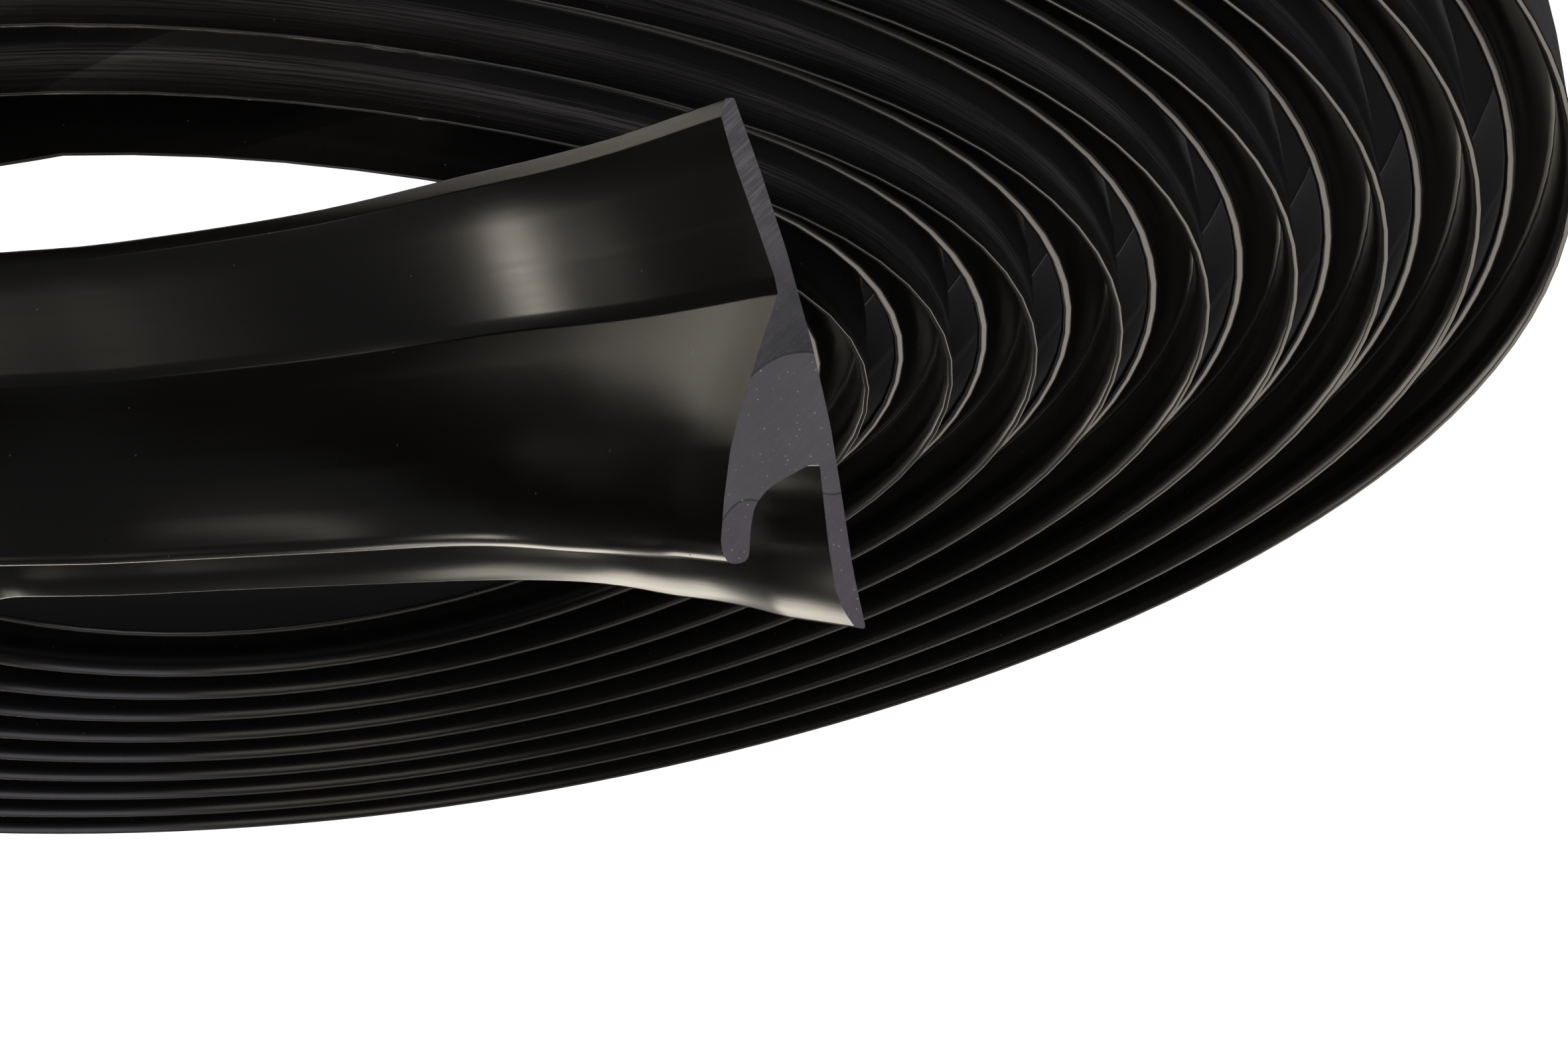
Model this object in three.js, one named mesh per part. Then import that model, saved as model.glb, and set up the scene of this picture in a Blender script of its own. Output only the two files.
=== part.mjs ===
// A coil of rubber rub rail, the bumper strip for the side of a boat or a dock.
// One extruded strip stands on the edge of its tongue with its lips up and its flat back outward.
// It is wound in one loose spiral, and its inner end is pulled up out of the coil.
// Millimetres, +Z up, with the origin under the middle of the coil's box.
import * as THREE from "three";

// The strip's section. Heights are measured up from the tongue's edge, depths inward from the back.
const railWidth = 80;
const backBow = 2.6;
const tongueEdge = 1.6;
const tongueDepth = 2.9;
const tongueSwell = 5;
const creaseHeight = 30;
const creaseDepth = 0.9;
const bulgeDepth = 18.6;
const shortLipHeight = 68;
const shortLipThickness = 4.2;
const slotFloorHeight = 55.5;
const slotRise = 5;
const longLipRoot = 0.8;
const longLipThickness = 3;
const longLipBevel = 1.4;

// The coil. Radii are to the tongue's edge, and the strip runs outward clockwise, seen from above.
const boreRadius = 200;
const coilPitch = 29.5;
const coilTurns = 8.8;
const stepsPerTurn = 28;

// How far the loose turns stand out of round, as three lobes and as an oval, and how much further
// with each turn.
const lobeHeight = -9.8;
const ovalHeight = -3.6;
const looserEachTurn = 0.045;

// The raised inner end, from the cut end to the coil: where the tongue's edge runs, and how many
// degrees the strip leans back there.
const freeEndRoute = [
  [-182, -428, 240, 13],
  [-157, -383, 216, 19.5],
  [-130, -347, 196, 26],
  [-92, -314, 179, 31.5],
  [-43, -288, 164, 34],
  [10, -270, 152, 34],
  [60, -236, 146, 32],
  [101, -178, 143, 28],
  [130, -108, 141, 23],
  [151, -30, 142, 18],
  [168, 46, 145, 14],
  [202, 104, 145, 10],
  [252, 116, 141, 7],
  [288, 76, 135, 5],
  [286, 8, 127, 3],
  [254, -52, 114, 1],
  [207, -94, 94, 0],
  [166, -134, 58, 0],
  [122, -170, 24, 0],
  [72, -196, 4, 0],
];
const freeEndSteps = 44;
const cutSlant = 15;

// The section as a closed outline: x is outward, towards the back, and y is up.
function railSection() {
  const shape = new THREE.Shape();
  shape.moveTo(-tongueEdge, 0);
  shape.lineTo(0, 0);
  shape.quadraticCurveTo(2 * backBow, railWidth / 2, 0, railWidth);
  shape.lineTo(-longLipThickness, railWidth - longLipBevel);
  shape.lineTo(-longLipRoot, slotFloorHeight + slotRise);
  shape.lineTo(-longLipRoot, slotFloorHeight);
  const lipInside = -bulgeDepth + shortLipThickness;
  shape.quadraticCurveTo(lipInside, slotFloorHeight, lipInside, slotFloorHeight + 2 * slotRise);
  shape.lineTo(-bulgeDepth + shortLipThickness / 2, shortLipHeight);
  shape.lineTo(-bulgeDepth, shortLipHeight - shortLipThickness / 2);
  shape.quadraticCurveTo(-bulgeDepth / 2, creaseHeight + bulgeDepth / 2, -creaseDepth, creaseHeight);
  shape.lineTo(-tongueDepth, tongueSwell);
  return shape;
}

// A place on the coil, so many turns out from its first point on the near side. The coil's straight
// sides are widened until their middles lie on its true turns.
function coilPoint(turns) {
  const angle = -Math.PI / 2 - turns * 2 * Math.PI;
  const outOfRound = lobeHeight * Math.cos(3 * angle) + ovalHeight * Math.sin(2 * angle);
  const loose = boreRadius + coilPitch * turns + outOfRound * (1 + looserEachTurn * turns);
  const radius = loose / Math.cos(Math.PI / stepsPerTurn);
  return new THREE.Vector3(radius * Math.cos(angle), radius * Math.sin(angle), 0);
}

// The route of the tongue's edge, from the cut free end, down into the coil and out to its end.
class RailRoute extends THREE.Curve {
  constructor() {
    super();
    const places = freeEndRoute.map(([x, y, z]) => new THREE.Vector3(x, y, z));
    const leans = freeEndRoute.map(([, , , lean], i) => new THREE.Vector2(i, lean));
    this.freeEnd = new THREE.CatmullRomCurve3([...places, coilPoint(0)]);
    this.lean = new THREE.SplineCurve([...leans, new THREE.Vector2(leans.length, 0)]);
    this.coilSteps = Math.round(coilTurns * stepsPerTurn);
    this.steps = freeEndSteps + this.coilSteps;
  }

  getPoint(t) {
    const step = t * this.steps - freeEndSteps;
    if (step < 0) return this.freeEnd.getPointAt(1 + step / freeEndSteps);
    return coilPoint((step / this.coilSteps) * coilTurns);
  }

  getPointAt(t) {
    return this.getPoint(t);
  }

  leanAt(step) {
    if (step >= freeEndSteps) return 0;
    const share = this.freeEnd.getUtoTmapping(step / freeEndSteps);
    return THREE.MathUtils.degToRad(this.lean.getPoint(share).y);
  }

  // The strip stands upright in the coil and leans back along the free end.
  // The free end's cut isn't quite square: its lips reach further out than its tongue.
  computeFrenetFrames(segments) {
    const frames = { tangents: [], normals: [], binormals: [] };
    const up = new THREE.Vector3(0, 0, 1);
    for (let i = 0; i <= segments; i++) {
      const before = this.getPoint(Math.max(0, (i - 0.5) / segments));
      const after = this.getPoint(Math.min(1, (i + 0.5) / segments));
      const tangent = after.sub(before).normalize();
      const outward = up.clone().cross(tangent).normalize();
      outward.applyAxisAngle(tangent, -this.leanAt(i));
      const width = tangent.clone().cross(outward);
      if (i === 0) {
        const slant = THREE.MathUtils.degToRad(cutSlant);
        width.applyAxisAngle(outward, -slant).divideScalar(Math.cos(slant));
      }
      frames.tangents.push(tangent);
      frames.normals.push(outward);
      frames.binormals.push(width);
    }
    return frames;
  }
}

const rubber = new THREE.MeshStandardMaterial({ color: 0x1b1b1a, roughness: 0.42, metalness: 0 });

function rubRail() {
  const route = new RailRoute();
  const geometry = new THREE.ExtrudeGeometry(railSection(), {
    steps: route.steps,
    curveSegments: 3,
    extrudePath: route,
  });
  const mesh = new THREE.Mesh(geometry, rubber);
  mesh.name = "rub_rail";
  return mesh;
}

const part = new THREE.Group();
part.add(rubRail());

// The coil is moved so that the middle of its box is over the origin and its lowest edge is on the floor.
const box = new THREE.Box3().setFromObject(part);
const middle = box.getCenter(new THREE.Vector3());
part.position.set(-middle.x, -middle.y, -box.min.z);

export default part;
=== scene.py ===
# A coil of black rubber rub rail, the bumper strip for the side of a boat or a dock.
# One co-extruded strip, so one piece: it stands on the edge of its tongue, wound in a loose spiral,
# and its inner end is pulled up out of the coil and leans over the near turns.
import math

import bpy
import numpy as np
from mathutils import Matrix, Vector


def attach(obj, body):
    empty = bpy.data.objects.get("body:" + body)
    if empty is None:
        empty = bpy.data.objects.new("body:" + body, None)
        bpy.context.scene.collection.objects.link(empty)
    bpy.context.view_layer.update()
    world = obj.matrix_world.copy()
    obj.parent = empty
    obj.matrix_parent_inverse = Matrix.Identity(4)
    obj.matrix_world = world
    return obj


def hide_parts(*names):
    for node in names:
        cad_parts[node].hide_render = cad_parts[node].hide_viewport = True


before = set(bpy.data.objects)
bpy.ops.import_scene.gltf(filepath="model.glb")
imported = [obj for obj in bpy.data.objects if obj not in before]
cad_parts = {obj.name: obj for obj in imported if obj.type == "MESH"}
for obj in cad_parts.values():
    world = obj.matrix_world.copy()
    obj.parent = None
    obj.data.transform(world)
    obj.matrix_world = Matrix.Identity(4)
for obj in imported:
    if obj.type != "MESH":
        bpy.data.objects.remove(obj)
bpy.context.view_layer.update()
print("frame loaded")

mm = 0.001  # every size below is in millimetres

camera = {
    "place": (-181.307, -709.648, 425.882),  # from the middle of the spiral
    "right": (-0.99174, 0.04955, 0.11831),  # the picture stands on its head, and so does the camera
    "up": (-0.12827, -0.38309, -0.91476),
    "lens": 51.69,
    "sensor": 36,
}

coil = {
    "middle": (5.79, -7.219),  # of the spiral, from the middle of the coil's box
    "boreRadius": 200,
    "pitch": 29.5,
    "turns": 8.8,
    "lobeHeight": -9.8,  # three lobes
    "ovalHeight": -3.6,
    "looserEachTurn": 0.045,
    "step": 20,  # along the strip, between two rings of the mesh
    "shortestStep": 0.003,  # of a turn, before the last ring
}

# Where the tongue's edge runs from the cut end down into the coil, and how many degrees the strip
# leans back there.
raisedEnd = {
    "route": [
        (-182, -428, 240, 13),
        (-157, -383, 216, 19.5),
        (-130, -347, 196, 26),
        (-92, -314, 179, 31.5),
        (-43, -288, 164, 34),
        (10, -270, 152, 34),
        (60, -236, 146, 32),
        (101, -178, 143, 28),
        (130, -108, 141, 23),
        (151, -30, 142, 18),
        (168, 46, 145, 14),
        (202, 104, 145, 10),
        (252, 116, 141, 7),
        (288, 76, 135, 5),
        (286, 8, 127, 3),
        (254, -52, 114, 1),
        (207, -94, 94, 0),
        (166, -134, 58, 0),
        (122, -170, 24, 0),
        (72, -196, 4, 0),
    ],
    "step": 8,
    "samples": 2000,  # along the whole route, from which its rings are spaced
    "cutSlant": 15,  # degrees off square, the lips reaching further out than the tongue
    "drawnInOver": 120,  # towards the cut the strip is drawn in a little
    "drawnInBy": 0.022,
    "spare": 30,  # extra length that the saw takes off
}

# Corners of the section and how round each is: outward from the line of the back, up, radius.
# It starts at the tongue's edge and runs up the back, down the long lip, through the slot, over the
# short lip and down the bulge to the crease and the tongue.
section = {
    "corners": [
        (-2.9, 2.6, 0.8),
        (-1.5, 0, 0.4),
        (0.05, 0, 0.4),
        (1.35, 12, 30),
        (2.3, 24, 30),
        (2.6, 38, 30),
        (2.3, 50, 30),
        (1.2, 61, 30),
        (0.05, 71.5, 30),
        (-0.25, 79.9, 0.4),
        (-1.9, 79.3, 0.6),
        (-3.0, 76.9, 5),
        (-3.5, 73.7, 0.12),
        (-2.9, 67.6, 8),
        (-1.9, 61, 3),
        (-1.05, 55.7, 0.3),
        (-2.6, 55.4, 0.8),
        (-9.8, 57.6, 5),
        (-12.8, 59.8, 3),
        (-14.3, 62.8, 6),
        (-15.9, 67.5, 1.6),
        (-19.3, 67.4, 1.9),
        (-19.6, 64.6, 3),
        (-17.4, 58.4, 12),
        (-14.4, 51.2, 12),
        (-11.5, 46.2, 12),
        (-8.3, 41.2, 12),
        (-4.9, 36.0, 12),
        (-0.9, 30.2, 1.2),
        (-0.75, 27.5, 3),
        (-1.6, 19, 30),
        (-2.7, 9, 30),
    ],
    "arcTurn": 30,  # degrees at most between two points of a round corner
    "sideShare": 0.45,  # of a side, that the round of a corner may take
    "sharpUnder": 0.02,  # a round that takes less of its sides is left sharp
    "smoothUnder": 38,  # degrees between faces that are shaded as one
}


def clearSelection():
    if bpy.context.mode != "OBJECT":
        bpy.ops.object.mode_set(mode="OBJECT")
    bpy.ops.object.select_all(action="DESELECT")


def pickOnly(piece):
    clearSelection()
    piece.select_set(True)
    bpy.context.view_layer.objects.active = piece


def roundCorner(before, corner, after, radius):
    corner = Vector(corner)
    toBefore = Vector(before) - corner
    toAfter = Vector(after) - corner
    halfAngle = toBefore.angle(toAfter) / 2
    turn = math.pi - 2 * halfAngle
    longest = section["sideShare"] * min(toBefore.length, toAfter.length)
    reach = min(radius / math.tan(halfAngle), longest)
    if reach < section["sharpUnder"]:
        return [corner]
    steps = max(1, math.ceil(math.degrees(turn) / section["arcTurn"]))
    middle = corner + (toBefore.normalized() + toAfter.normalized()).normalized() * (
        reach / math.cos(halfAngle)
    )
    start = corner + toBefore.normalized() * reach - middle
    side = math.copysign(turn, start.cross(corner + toAfter.normalized() * reach - middle))
    return [middle + Matrix.Rotation(side * i / steps, 2) @ start for i in range(steps + 1)]


def sectionOutline():
    corners = [corner[:2] for corner in section["corners"]]
    outline = []
    for i, (x, y, radius) in enumerate(section["corners"]):
        outline += roundCorner(corners[i - 1], (x, y), corners[(i + 1) % len(corners)], radius)
    return outline


centripetal = 0.25  # how three.js weighs the gaps between a smooth line's spots
even = 0


# A smooth line through the spots, as three.js draws it.
def smoothThrough(spots, share, power):
    last = len(spots) - 1
    index = min(int(share * last), last - 1)
    near = share * last - index
    b, c = spots[index], spots[index + 1]
    a = spots[index - 1] if index > 0 else 2 * b - c
    d = spots[index + 2] if index < last - 1 else 2 * c - b
    gapA, gapB, gapC = [float(np.sum((q - p) ** 2)) ** power for p, q in ((a, b), (b, c), (c, d))]
    leave = ((b - a) / gapA - (c - a) / (gapA + gapB) + (c - b) / gapB) * gapB
    arrive = ((c - b) / gapB - (d - b) / (gapB + gapC) + (d - c) / gapC) * gapB
    bend = -3 * b + 3 * c - 2 * leave - arrive
    return b + near * (leave + near * (bend + near * (2 * b - 2 * c + leave + arrive)))


def coilPlace(turns):
    angle = -math.pi / 2 - turns * 2 * math.pi
    outOfRound = coil["lobeHeight"] * math.cos(3 * angle) + coil["ovalHeight"] * math.sin(2 * angle)
    outOfRound *= 1 + coil["looserEachTurn"] * turns
    radius = coil["boreRadius"] + coil["pitch"] * turns + outOfRound
    return radius * math.cos(angle), radius * math.sin(angle), 0


# The route of the tongue's edge, and the lean there in degrees, with rings at even steps.
def raisedEndRoute():
    spots = np.array([spot[:3] for spot in raisedEnd["route"]] + [coilPlace(0)], float)
    leans = np.array([[spot[3]] for spot in raisedEnd["route"]] + [[0]], float)
    shares = np.linspace(0, 1, raisedEnd["samples"])
    fine = np.array([smoothThrough(spots, share, centripetal) for share in shares])
    along = np.concatenate([[0], np.cumsum(np.linalg.norm(np.diff(fine, axis=0), axis=1))])
    count = round(along[-1] / raisedEnd["step"])
    wanted = np.interp(np.arange(count) * along[-1] / count, along, shares)
    return [
        (Vector(smoothThrough(spots, share, centripetal)), smoothThrough(leans, share, even)[0])
        for share in wanted
    ]


def coilRoute():
    route = []
    turns = 0
    while turns < coil["turns"] - coil["shortestStep"]:
        route.append((Vector(coilPlace(turns)), 0))
        turns += coil["step"] / (2 * math.pi * math.hypot(*coilPlace(turns)[:2]))
    route.append((Vector(coilPlace(coil["turns"])), 0))
    return route


def drawLine(name, places, closed):
    line = bpy.data.curves.new(name, "CURVE")
    line.dimensions = "3D"
    spline = line.splines.new("POLY")
    spline.points.add(len(places) - 1)
    for point, place in zip(spline.points, places):
        point.co = (*place, 1)
    spline.use_cyclic_u = closed
    drawn = bpy.data.objects.new(name, line)
    bpy.context.collection.objects.link(drawn)
    return drawn


# The strip is drawn out along its route, then each ring of it is told where it is on the strip:
# metres from the cut end, outward from the line of the back, and up from the tongue's edge.
def extrudeStrip():
    raised = raisedEndRoute()
    route = raised + coilRoute()
    backwards = (route[0][0] - route[1][0]).normalized() * raisedEnd["spare"]
    route.insert(0, (route[0][0] + backwards, route[0][1]))
    off = Vector((*coil["middle"], 0))
    outline = sectionOutline()
    die = drawLine("die", [(-x * mm, y * mm, 0) for x, y in outline], True)
    strip = drawLine("rubRail", [(place + off) * mm for place, lean in route], False)
    strip.data.twist_mode = "Z_UP"
    strip.data.bevel_mode = "OBJECT"
    strip.data.bevel_object = die
    for i, (place, lean) in enumerate(route):
        point = strip.data.splines[0].points[i]
        point.tilt = -math.radians(lean)
        fromCut = min(1, max(0, i - 1) * raisedEnd["step"] / raisedEnd["drawnInOver"])
        point.radius = 1 - raisedEnd["drawnInBy"] * (1 - fromCut) ** 2
    pickOnly(strip)
    bpy.ops.object.convert(target="MESH")
    bpy.data.objects.remove(die)

    places = np.array([place for place, lean in route])
    along = np.cumsum(np.linalg.norm(np.diff(places, axis=0), axis=1))
    along = np.concatenate([[0], along]) - raisedEnd["spare"]
    spots = np.zeros((len(route), len(outline), 3))
    spots[:, :, 0] = along[:, None]
    spots[:, :, 1:] = np.array([tuple(spot) for spot in outline])[None]
    onStrip = strip.data.attributes.new("onStrip", "FLOAT_VECTOR", "POINT")
    onStrip.data.foreach_set("vector", (spots * mm).ravel())
    print("strip extruded:", len(route), "rings of", len(outline), "points")
    return strip, route


# The raised end is sawn on the slant. The outer end stays square, and both are closed.
def sawEnds(strip, route):
    start = route[1][0]
    tangent = (route[2][0] - start).normalized()
    outward = Vector((0, 0, 1)).cross(tangent).normalized()
    outward = Matrix.Rotation(-math.radians(route[1][1]), 3, tangent) @ outward
    width = Matrix.Rotation(-math.radians(raisedEnd["cutSlant"]), 3, outward) @ tangent.cross(outward)
    away = width.cross(outward)
    pickOnly(strip)
    bpy.ops.object.mode_set(mode="EDIT")
    bpy.ops.mesh.select_all(action="SELECT")
    bpy.ops.mesh.bisect(
        plane_co=(start + Vector((*coil["middle"], 0))) * mm,
        plane_no=away,
        use_fill=True,
        clear_outer=True,
    )
    bpy.ops.mesh.select_all(action="SELECT")
    bpy.ops.mesh.fill_holes(sides=0)
    bpy.ops.mesh.select_all(action="SELECT")
    bpy.ops.mesh.normals_make_consistent(inside=False)
    bpy.ops.object.mode_set(mode="OBJECT")
    bpy.ops.object.shade_smooth_by_angle(angle=math.radians(section["smoothUnder"]))
    print("ends sawn")


def linear(hexColour):
    channels = [int(hexColour[i:i + 2], 16) / 255 for i in (1, 3, 5)]
    return (*[c / 12.92 if c <= 0.04045 else ((c + 0.055) / 1.055) ** 2.4 for c in channels], 1)


# Adds a node. An input is a value, a socket, or a node, whose first output in use is then meant.
def addNode(tree, kind, inputs, **settings):
    added = tree.nodes.new("ShaderNode" + kind)
    for name, value in settings.items():
        setattr(added, name, value)
    for socket, value in inputs.items():
        if isinstance(value, bpy.types.Node):
            value = next(output for output in value.outputs if output.enabled)
        if isinstance(value, bpy.types.NodeSocket):
            tree.links.new(value, added.inputs[socket])
        else:
            added.inputs[socket].default_value = value
    return added


# Every Map Range here rises smoothly from 0 at its input 1 to 1 at its input 2, unless inputs 3 and 4
# say otherwise.
eased = {"interpolation_type": "SMOOTHSTEP"}


def newMaterial(name):
    material = bpy.data.materials.new(name)
    material.use_nodes = True
    material.node_tree.nodes.clear()
    return material


# Where a point lies on the strip, in millimetres: along it, outward and up.
def placeOnStrip(tree):
    place = addNode(tree, "Attribute", {}, attribute_name="onStrip").outputs["Vector"]
    place = addNode(tree, "VectorMath", {0: place, "Scale": 1 / mm}, operation="SCALE")
    parts = addNode(tree, "SeparateXYZ", {0: place}).outputs
    return place, parts["X"], parts["Y"], parts["Z"]


# Noise of a grain size in millimetres, drawn out along the strip by the stretch.
def grain(tree, place, size, stretch, detail, roughness=0.5):
    drawnOut = addNode(tree, "VectorMath", {0: place, 1: (1 / stretch, 1, 1)}, operation="MULTIPLY")
    return addNode(tree, "TexNoise", {
        "Vector": drawnOut,
        "Scale": 1 / size,
        "Detail": detail,
        "Roughness": roughness,
    })


# Co-extruded EPDM rubber: near black, and satin from the die, which leaves faint lines along it. The
# backs of the coil's turns have a painted sheen, a paler grey that grows towards the top of the back,
# and are dusty and scuffed in a band along the long lip, where the turns were dragged over each other.
# The raised end is clean but for a few specks.
skin = {
    "colour": "#100f0e",
    "ior": 1.5,
    "roughness": 0.24,
    "dieLineSize": 1.4,
    "dieLineLength": 400,
    "dieLineRoughness": 0.05,  # from the smoothest line to the roughest
    "dieLineDepth": 0.08,
    "dieLineStrength": 0.1,
    # the pale grey of the dust, and also of the painted sheen on the backs
    "dustAndSheenColour": "#747271",
    "dustRoughness": 0.5,  # on top of the clean skin's
    "dustBand": (63, 68, 79.2, 80),  # up the back: starts, full, full, ends
    "dustyFrom": (1500, 2300),  # along the strip, past the raised end
    "back": (-0.3, 0.4),  # outward, where the back begins
    "thinnestDust": 0.12,
    "scuffedDust": 0.5,  # on top of the thinnest
    # the painted sheen on the backs: how pale it gets at most, and where up the back it starts
    "paintedSheen": 0.09,
    "paintedSheenStart": 20,  # up the back
    "scuffSize": 0.55,
    "scuffLength": 60,
    "scuffRange": (0.36, 0.66),  # of the noise
    "scuffHarshness": 0.6,
    "patchSize": 30,
    "patchStretch": 4,
    "patchRange": (0.2, 0.62),
    "speckSpacing": 8,
    "speckSize": (0.3, 0.18),  # where a speck ends and where it is full
    "speckDust": 0.5,  # how pale a speck is
}


def extrudedRubber():
    material = newMaterial("extruded black EPDM rubber")
    tree = material.node_tree
    place, along, outward, up = placeOnStrip(tree)

    # The scuffs in their band
    bandStart, bandFull, bandFade, bandEnd = skin["dustBand"]
    fromBelow = addNode(tree, "MapRange", {0: up, 1: bandStart, 2: bandFull}, **eased)
    fromAbove = addNode(tree, "MapRange", {0: up, 1: bandEnd, 2: bandFade}, **eased)
    band = addNode(tree, "Math", {0: fromBelow, 1: fromAbove}, operation="MULTIPLY")
    scuffStretch = skin["scuffLength"] / skin["scuffSize"]
    scuffs = grain(tree, place, skin["scuffSize"], scuffStretch, 3, skin["scuffHarshness"])
    least, most = skin["scuffRange"]
    scuffs = addNode(tree, "MapRange", {0: scuffs, 1: least, 2: most}, **eased)
    patches = grain(tree, place, skin["patchSize"], skin["patchStretch"], 3)
    least, most = skin["patchRange"]
    patches = addNode(tree, "MapRange", {0: patches, 1: least, 2: most}, **eased)
    scuffed = addNode(tree, "Math", {0: scuffs, 1: patches}, operation="MULTIPLY")
    dustAndSheen = addNode(tree, "Math", {
        0: scuffed,
        1: skin["scuffedDust"],
        2: skin["thinnestDust"],
    }, operation="MULTIPLY_ADD")
    dustAndSheen = addNode(tree, "Math", {0: band, 1: dustAndSheen}, operation="MULTIPLY")

    # A painted sheen over the rest of the back, paler towards its top. From here on, the mask holds the
    # dust and the painted sheen together.
    paintedSheen = addNode(tree, "MapRange", {0: up, 1: skin["paintedSheenStart"], 2: bandFull, 4: skin["paintedSheen"]}, **eased)
    dustAndSheen = addNode(tree, "Math", {0: dustAndSheen, 1: paintedSheen}, operation="MAXIMUM")
    least, most = skin["back"]
    onBack = addNode(tree, "MapRange", {0: outward, 1: least, 2: most}, **eased)
    least, most = skin["dustyFrom"]
    onCoil = addNode(tree, "MapRange", {0: along, 1: least, 2: most}, **eased)
    onCoilsBack = addNode(tree, "Math", {0: onBack, 1: onCoil}, operation="MULTIPLY")
    dustAndSheen = addNode(tree, "Math", {0: onCoilsBack, 1: dustAndSheen}, operation="MULTIPLY")

    # Specks all over
    speckEnd, speckFull = skin["speckSize"]
    specks = addNode(tree, "TexVoronoi", {"Vector": place, "Scale": 1 / skin["speckSpacing"]})
    specks = addNode(tree, "MapRange", {
        0: specks,
        1: speckEnd / skin["speckSpacing"],
        2: speckFull / skin["speckSpacing"],
        4: skin["speckDust"],
    }, **eased)
    dustAndSheen = addNode(tree, "Math", {0: dustAndSheen, 1: specks}, operation="MAXIMUM")

    # The die's lines
    dieLines = grain(tree, place, skin["dieLineSize"], skin["dieLineLength"] / skin["dieLineSize"], 2)
    roughness = addNode(tree, "Math", {
        0: dieLines,
        1: skin["dieLineRoughness"],
        2: skin["roughness"] - skin["dieLineRoughness"] / 2,
    }, operation="MULTIPLY_ADD")
    roughness = addNode(tree, "Math", {
        0: dustAndSheen,
        1: skin["dustRoughness"],
        2: roughness,
    }, operation="MULTIPLY_ADD")
    lined = addNode(tree, "Bump", {
        "Height": dieLines,
        "Strength": skin["dieLineStrength"],
        "Distance": skin["dieLineDepth"] * mm,
    })

    # Black, paled by the dust and by the painted sheen
    colour = addNode(tree, "Mix", {
        0: dustAndSheen,
        6: linear(skin["colour"]),
        7: linear(skin["dustAndSheenColour"]),
    }, data_type="RGBA")
    surface = addNode(tree, "BsdfPrincipled", {
        "Base Color": colour,
        "Roughness": roughness,
        "IOR": skin["ior"],
        "Normal": lined,
    })
    addNode(tree, "OutputMaterial", {"Surface": surface})
    return material


# The same rubber sawn through: matt dark grey, since the blade tears its filler open. The four
# compounds that were extruded together show as zones with fine seams between them.
sawn = {
    "ior": 1.5,
    "roughness": 0.62,
    "tongueColour": "#605f63",
    "wedgeColour": "#48484d",
    "wedgeStart": (24, 33),  # up, where the tongue turns darker
    # Each zone lies above its seam, which bows away from its middle, and inward or outward of its edge.
    "zones": {
        "body": {"seam": 39, "bow": 0.04, "middle": -0.5, "edge": (-30, -29), "colour": "#6a696c"},
        "shortLip": {"seam": 58.9, "bow": 0.12, "middle": -14, "edge": (-10, -10.2), "colour": "#656169"},
        "longLip": {"seam": 60.2, "bow": -0.1, "middle": 0.5, "edge": (-5, -4.8), "colour": "#656169"},
    },
    "seamColour": "#2a2a2e",
    "seamWidth": 0.24,
    "seamFade": (1.6, 0.5),  # of half its width: where the line ends and where it is full
    "seamShare": 0.75,
    "cloudColour": "#7b7a7e",
    "cloudSize": 5,
    "cloudRange": (0.35, 0.75),  # of the noise
    "cloudShare": 0.3,
    "fillerColour": "#b9b9bb",
    "fillerSpacing": 0.85,
    "fillerSize": (0.156, 0.072),  # where a speck ends and where it is full
    "fillerShare": (0.2, 0.75),  # in the tongue, and on top of that above its seam
    "clumpSize": 2.5,
    "clumpRange": (0.4, 0.6),
    "markColour": "#98979b",
    "markAngle": 32,
    "markSpacing": 0.5,
    "markLength": 9,
    "markRange": (0.42, 0.68),
    "markShare": 0.45,
    "marksAboveTongue": 0.15,  # of what they are on the tongue
    "marksFade": (26, 14),  # up: where they are down to that, and where they are full
    "tornSize": 0.35,
    "tornDepth": 0.06,
    "tornStrength": 0.5,
}


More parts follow.
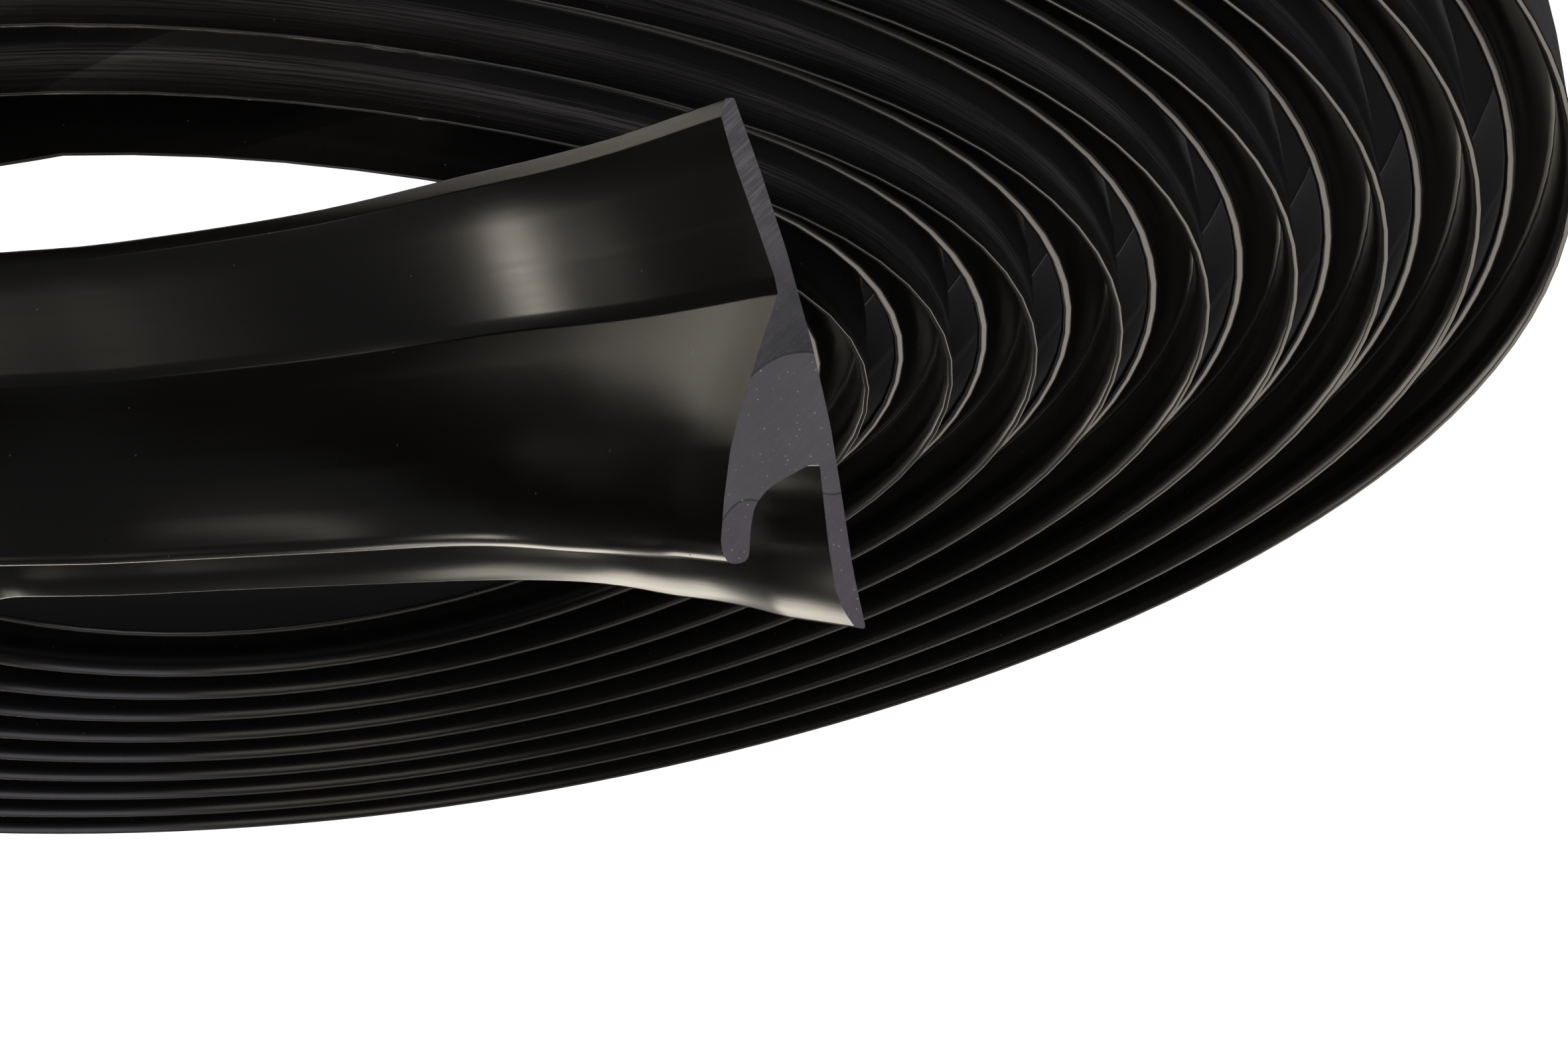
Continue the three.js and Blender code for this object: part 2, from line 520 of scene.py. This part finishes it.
def sawnRubber():
    material = newMaterial("sawn EPDM rubber")
    tree = material.node_tree
    place, along, outward, up = placeOnStrip(tree)

    least, most = sawn["wedgeStart"]
    inWedge = addNode(tree, "MapRange", {0: up, 1: least, 2: most}, **eased)
    colour = addNode(tree, "Mix", {
        0: inWedge,
        6: linear(sawn["tongueColour"]),
        7: linear(sawn["wedgeColour"]),
    }, data_type="RGBA")

    # The zones, each with the height over its seam and its share
    halfSeam = sawn["seamWidth"] / 2
    seams = []
    shares = {}
    for name, zone in sawn["zones"].items():
        fromMiddle = addNode(tree, "Math", {0: outward, 1: zone["middle"]}, operation="SUBTRACT")
        squared = addNode(tree, "Math", {0: fromMiddle, 1: fromMiddle}, operation="MULTIPLY")
        seam = addNode(tree, "Math", {
            0: squared,
            1: zone["bow"],
            2: zone["seam"],
        }, operation="MULTIPLY_ADD")
        overSeam = addNode(tree, "Math", {0: up, 1: seam}, operation="SUBTRACT")
        start, full = zone["edge"]
        beyondEdge = addNode(tree, "MapRange", {0: outward, 1: start, 2: full}, **eased)
        above = addNode(tree, "MapRange", {0: overSeam, 1: -halfSeam, 2: halfSeam}, **eased)
        shares[name] = addNode(tree, "Math", {0: above, 1: beyondEdge}, operation="MULTIPLY")
        colour = addNode(tree, "Mix", {
            0: shares[name],
            6: colour,
            7: linear(zone["colour"]),
        }, data_type="RGBA")
        seams.append((overSeam, beyondEdge))

    # Clouds, and the seams' fine lines over them
    least, most = sawn["cloudRange"]
    clouds = grain(tree, place, sawn["cloudSize"], 1, 3)
    clouds = addNode(tree, "MapRange", {0: clouds, 1: least, 2: most, 4: sawn["cloudShare"]}, **eased)
    colour = addNode(tree, "Mix", {0: clouds, 6: colour, 7: linear(sawn["cloudColour"])}, data_type="RGBA")
    lineEnd, lineFull = sawn["seamFade"]
    for overSeam, beyondEdge in seams:
        offSeam = addNode(tree, "Math", {0: overSeam}, operation="ABSOLUTE")
        line = addNode(tree, "MapRange", {
            0: offSeam,
            1: lineEnd * halfSeam,
            2: lineFull * halfSeam,
            4: sawn["seamShare"],
        }, **eased)
        line = addNode(tree, "Math", {0: line, 1: beyondEdge}, operation="MULTIPLY")
        colour = addNode(tree, "Mix", {0: line, 6: colour, 7: linear(sawn["seamColour"])}, data_type="RGBA")

    # Specks of filler in clumps, most of them above the tongue
    fillerEnd, fillerFull = sawn["fillerSize"]
    specks = addNode(tree, "TexVoronoi", {"Vector": place, "Scale": 1 / sawn["fillerSpacing"]})
    specks = addNode(tree, "MapRange", {
        0: specks,
        1: fillerEnd / sawn["fillerSpacing"],
        2: fillerFull / sawn["fillerSpacing"],
    }, **eased)
    inTongue, more = sawn["fillerShare"]
    often = addNode(tree, "Math", {0: shares["body"], 1: more, 2: inTongue}, operation="MULTIPLY_ADD")
    specks = addNode(tree, "Math", {0: specks, 1: often}, operation="MULTIPLY")
    least, most = sawn["clumpRange"]
    clumps = grain(tree, place, sawn["clumpSize"], 1, 2)
    clumps = addNode(tree, "MapRange", {0: clumps, 1: least, 2: most}, **eased)
    specks = addNode(tree, "Math", {0: specks, 1: clumps}, operation="MULTIPLY")
    colour = addNode(tree, "Mix", {0: specks, 6: colour, 7: linear(sawn["fillerColour"])}, data_type="RGBA")

    # The saw's marks across the tongue
    turned = addNode(tree, "VectorRotate", {
        "Vector": place,
        "Axis": (1, 0, 0),
        "Angle": math.radians(sawn["markAngle"]),
    }, rotation_type="AXIS_ANGLE")
    pulled = addNode(tree, "VectorMath", {
        0: turned,
        1: (0, 1 / sawn["markLength"], 1 / sawn["markSpacing"]),
    }, operation="MULTIPLY")
    marks = addNode(tree, "TexNoise", {"Vector": pulled, "Scale": 1, "Detail": 2})
    fadeEnd, fadeStart = sawn["marksFade"]
    onTongue = addNode(tree, "MapRange", {
        0: up,
        1: fadeEnd,
        2: fadeStart,
        3: sawn["marksAboveTongue"],
    }, **eased)
    least, most = sawn["markRange"]
    marked = addNode(tree, "MapRange", {0: marks, 1: least, 2: most, 4: sawn["markShare"]}, **eased)
    marked = addNode(tree, "Math", {0: marked, 1: onTongue}, operation="MULTIPLY")
    colour = addNode(tree, "Mix", {0: marked, 6: colour, 7: linear(sawn["markColour"])}, data_type="RGBA")

    ridges = addNode(tree, "Math", {0: marks, 1: onTongue}, operation="MULTIPLY")
    tearing = grain(tree, place, sawn["tornSize"], 1, 2)
    height = addNode(tree, "Math", {0: ridges, 1: tearing}, operation="ADD")
    torn = addNode(tree, "Bump", {
        "Height": height,
        "Strength": sawn["tornStrength"],
        "Distance": sawn["tornDepth"] * mm,
    })
    surface = addNode(tree, "BsdfPrincipled", {
        "Base Color": colour,
        "Roughness": sawn["roughness"],
        "IOR": sawn["ior"],
        "Normal": torn,
    })
    addNode(tree, "OutputMaterial", {"Surface": surface})
    return material


def makeRubRail():
    strip, route = extrudeStrip()
    sawEnds(strip, route)
    strip.data.materials.append(extrudedRubber())
    strip.data.materials.append(sawnRubber())
    for face in strip.data.polygons:
        face.material_index = 1 if len(face.vertices) > 4 else 0  # the cut ends have many corners
    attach(strip, "root")
    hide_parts("rub_rail")
    return strip


def makeCamera():
    lensData = bpy.data.cameras.new("camera")
    lensData.lens = camera["lens"]
    lensData.sensor_width = camera["sensor"]
    placed = bpy.data.objects.new("camera", lensData)
    bpy.context.collection.objects.link(placed)
    right, up = Vector(camera["right"]), Vector(camera["up"])
    turned = Matrix((right, up, right.cross(up))).transposed()
    place = (Vector(camera["place"]) + Vector((*coil["middle"], 0))) * mm
    placed.matrix_world = Matrix.Translation(place) @ turned.to_4x4()
    bpy.context.scene.camera = placed


# Softboxes by where they stand, seen from the coil: bearing, height and span in degrees, how far
# off in millimetres, and how bright against the white of the picture.
studio = {
    "softboxes": {
        "low far softbox": {"bearing": 24, "height": 1, "away": 2400, "span": (6, 6), "bright": 8},
        "far softbox": {"bearing": 57, "height": 8, "away": 2400, "span": (20, 18), "bright": 3.8},
        "upper far softbox": {"bearing": 36, "height": 22, "away": 2400, "span": (18, 12), "bright": 2.8},
        "low right softbox": {"bearing": -15, "height": 2, "away": 2400, "span": (22, 6), "bright": 1.3},
        "right softbox": {"bearing": -19, "height": 31, "away": 2400, "span": (14, 8), "bright": 0.7},
        "rear left softbox": {"bearing": 108, "height": 27, "away": 2400, "span": (30, 24), "bright": 2.2},
        "high rear softbox": {"bearing": 80, "height": 50, "away": 2300, "span": (50, 30), "bright": 0.4},
        "left softbox": {
            "bearing": 225, "height": 48, "away": 2300, "span": (36, 36), "bright": 1.8,
            "colour": "#f3f1ff",
        },
        "front softbox": {"bearing": 275, "height": 25, "away": 2300, "span": (40, 24), "bright": 1.6},
        "overhead softbox": {"bearing": 90, "height": 84, "away": 2300, "span": (60, 60), "bright": 0.4},
    },
    "lightColour": "#fff6e6",
    "cardPlace": (-19, -254, 55),
    "cardAim": (-148, -370, 248),
    "cardSize": (240, 92),
    "cardBright": 0.55,
    "paperSize": 12000,
    "paperColour": "#fbfcff",
    "paperRoughness": 0.9,
    "paperDrop": 0.2,  # under the coil, so that the two don't share a plane
    "paperLamp": (208, 38),  # bearing and height
    "paperLampSpan": 8,
    "paperLight": 7,
    "worldLight": 0.11,
}


def fromBearing(bearing, height):
    bearing, height = math.radians(bearing), math.radians(height)
    return Vector((
        math.cos(bearing) * math.cos(height),
        math.sin(bearing) * math.cos(height),
        math.sin(height),
    ))


# A flat lamp that the camera doesn't see. Its back is turned the way that away points.
def hangPanel(name, place, away, width, depth, bright, colour):
    clearSelection()
    bpy.ops.object.light_add(type="AREA", location=place)
    panel = bpy.context.active_object
    panel.name = name
    panel.data.shape = "RECTANGLE"
    panel.data.size = width
    panel.data.size_y = depth
    panel.data.energy = bright * math.pi * width * depth
    panel.data.color = linear(colour)[:3]
    panel.rotation_euler = away.to_track_quat("Z", "Y").to_euler()
    panel.visible_camera = False
    return panel


# A softbox is turned towards the middle of the coil.
def hangSoftbox(name, bearing, height, away, span, bright, colour=studio["lightColour"]):
    towards = fromBearing(bearing, height)
    width, depth = [2 * away * mm * math.tan(math.radians(side) / 2) for side in span]
    return hangPanel(name, towards * away * mm, towards, width, depth, bright, colour)


# The card under the raised end lights the strip below its crease. The coil doesn't block its light,
# and would block its reflection if rays from the rubber looked for it too.
def hangCard():
    place = Vector(studio["cardPlace"])
    width, depth = [side * mm for side in studio["cardSize"]]
    away = place - Vector(studio["cardAim"])
    bright, colour = studio["cardBright"], studio["lightColour"]
    card = hangPanel("light card", place * mm, away, width, depth, bright, colour)
    card.data.cycles.use_multiple_importance_sampling = False
    return card


def layPaper():
    clearSelection()
    bpy.ops.mesh.primitive_plane_add(
        size=studio["paperSize"] * mm,
        location=(0, 0, -studio["paperDrop"] * mm),
    )
    paper = bpy.context.active_object
    paper.name = "studio floor"
    white = newMaterial("white backdrop paper")
    surface = addNode(white.node_tree, "BsdfPrincipled", {
        "Base Color": linear(studio["paperColour"]),
        "Roughness": studio["paperRoughness"],
    })
    addNode(white.node_tree, "OutputMaterial", {"Surface": surface})
    paper.data.materials.append(white)
    paper.visible_glossy = False  # the rubber mirrors the dim room, not the paper
    paper.visible_diffuse = False
    return paper


def hangPaperLamp():
    clearSelection()
    bpy.ops.object.light_add(type="SUN")
    lamp = bpy.context.active_object
    lamp.name = "paper lamp"
    lamp.data.energy = studio["paperLight"]
    lamp.data.angle = math.radians(studio["paperLampSpan"])
    lamp.rotation_euler = fromBearing(*studio["paperLamp"]).to_track_quat("Z", "Y").to_euler()
    return lamp


# The room is dim, but the camera sees it white past the paper's edge.
def lightRoom():
    world = bpy.data.worlds.new("studio")
    bpy.context.scene.world = world
    world.use_nodes = True
    tree = world.node_tree
    tree.nodes.clear()
    ray = addNode(tree, "LightPath", {})
    dim = addNode(tree, "Background", {"Strength": studio["worldLight"]})
    white = addNode(tree, "Background", {"Color": (1, 1, 1, 1), "Strength": 1})
    both = addNode(tree, "MixShader", {0: ray.outputs["Is Camera Ray"], 1: dim, 2: white})
    addNode(tree, "OutputWorld", {"Surface": both})
    bpy.context.scene.view_settings.view_transform = "Standard"


# The paper has a lamp of its own, and the softboxes light the rub rail alone.
def makeStudio():
    onPaper = bpy.data.collections.new("lit by the paper lamp")
    onPaper.objects.link(layPaper())
    onRail = bpy.data.collections.new("lit by the softboxes")
    onRail.objects.link(rubRail)
    hangPaperLamp().light_linking.receiver_collection = onPaper
    for name, softbox in studio["softboxes"].items():
        hangSoftbox(name, **softbox).light_linking.receiver_collection = onRail
    card = hangCard()
    card.light_linking.receiver_collection = onRail
    card.light_linking.blocker_collection = onPaper
    lightRoom()


makeCamera()
rubRail = makeRubRail()
print("rub rail made:", sum(len(face.vertices) - 2 for face in rubRail.data.polygons), "triangles")
makeStudio()
print("studio made")
